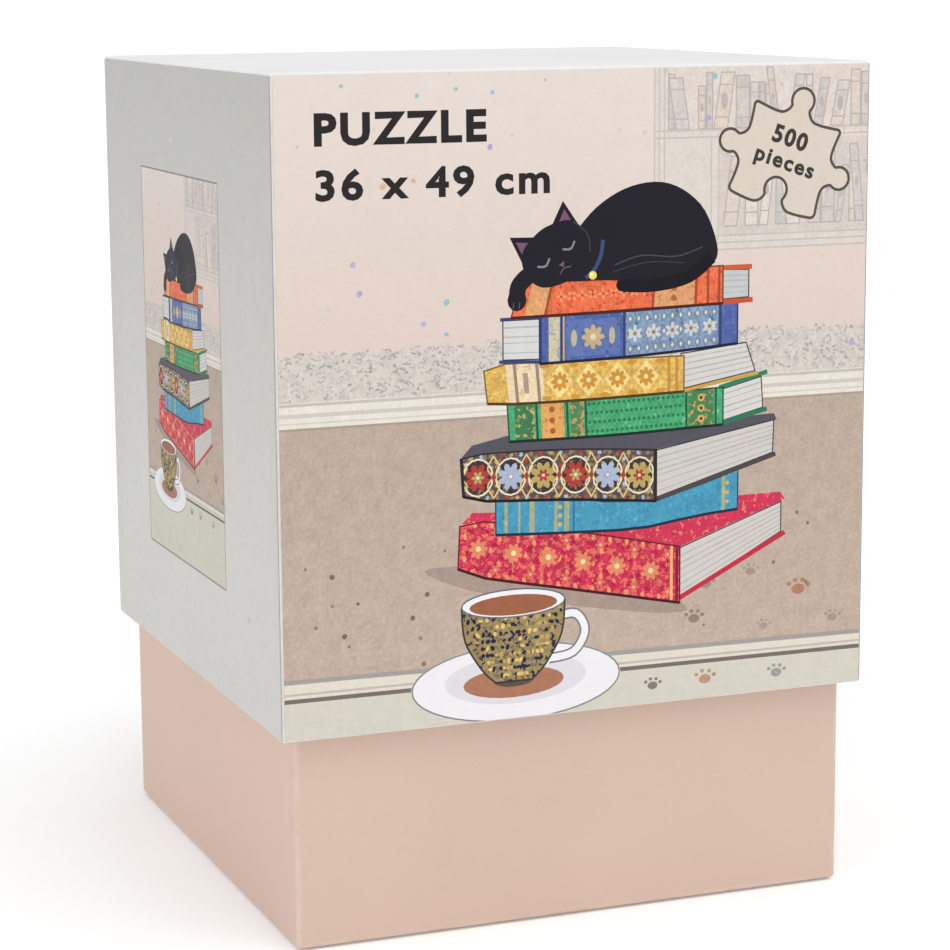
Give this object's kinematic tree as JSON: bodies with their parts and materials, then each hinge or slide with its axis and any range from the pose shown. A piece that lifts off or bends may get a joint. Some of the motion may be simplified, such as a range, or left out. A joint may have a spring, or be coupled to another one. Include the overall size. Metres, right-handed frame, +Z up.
{
  "type": "boxed jigsaw puzzle",
  "caption": "Rigid square board box with a printed telescoping lift-off lid over a taller plain base, holding a film bag of die-cut jigsaw pieces.",
  "frame": {"origin": "centre of the box's underside, on the surface that it stands on", "axes": "+Z up through the lid, the printed front faces -Y, the small framed picture on the left side faces -X"},
  "size_m": [0.11, 0.11, 0.15],
  "materials": {
    "printed_paper": "matt litho-printed wrap with a soft sheen",
    "base_paper": "matt peach wrapping paper",
    "greyboard": "raw recycled greyboard",
    "stay_tape": "brown gummed paper tape",
    "bag_film": "clear glossy film",
    "piece_board": "printed face, pale blue-grey board core and back",
    "piece_heap": "printed and plain piece faces, mixed"
  },
  "bodies": {
    "base": {"base_board": "greyboard", "base_wrap": "base_paper", "base_bottom_sheet": "base_paper", "base_corner_stay_rear_right": "stay_tape", "base_corner_stay_rear_left": "stay_tape", "base_corner_stay_front_left": "stay_tape", "base_corner_stay_front_right": "stay_tape"},
    "contents": {"piece_bag": "bag_film", "piece_heap": "piece_heap", "puzzle_piece_01": "piece_board", "puzzle_piece_02": "piece_board", "puzzle_piece_03": "piece_board", "puzzle_piece_04": "piece_board", "puzzle_piece_05": "piece_board", "puzzle_piece_06": "piece_board", "puzzle_piece_07": "piece_board", "puzzle_piece_08": "piece_board", "puzzle_piece_09": "piece_board", "puzzle_piece_10": "piece_board", "puzzle_piece_11": "piece_board", "puzzle_piece_12": "piece_board", "puzzle_piece_13": "piece_board", "puzzle_piece_14": "piece_board", "puzzle_piece_15": "piece_board", "puzzle_piece_16": "piece_board", "puzzle_piece_17": "piece_board", "puzzle_piece_18": "piece_board", "puzzle_piece_19": "piece_board", "puzzle_piece_20": "piece_board", "puzzle_piece_21": "piece_board", "puzzle_piece_22": "piece_board", "puzzle_piece_23": "piece_board", "puzzle_piece_24": "piece_board", "puzzle_piece_25": "piece_board", "puzzle_piece_26": "piece_board", "puzzle_piece_27": "piece_board", "puzzle_piece_28": "piece_board", "puzzle_piece_29": "piece_board", "puzzle_piece_30": "piece_board"},
    "lid": {"lid_board": "greyboard", "lid_wrap": "printed_paper", "lid_corner_stay_rear_right": "stay_tape", "lid_corner_stay_rear_left": "stay_tape", "lid_corner_stay_front_left": "stay_tape", "lid_corner_stay_front_right": "stay_tape"}
  },
  "joints": [
    {"name": "contents_lift", "type": "slide", "parent": "base", "child": "contents", "axis": [0, 0, 1], "range_m": [0, 0.16]},
    {"name": "lid_lift", "type": "slide", "parent": "contents", "child": "lid", "axis": [0, 0, 1], "range_m": [0, 0.13]}
  ]
}
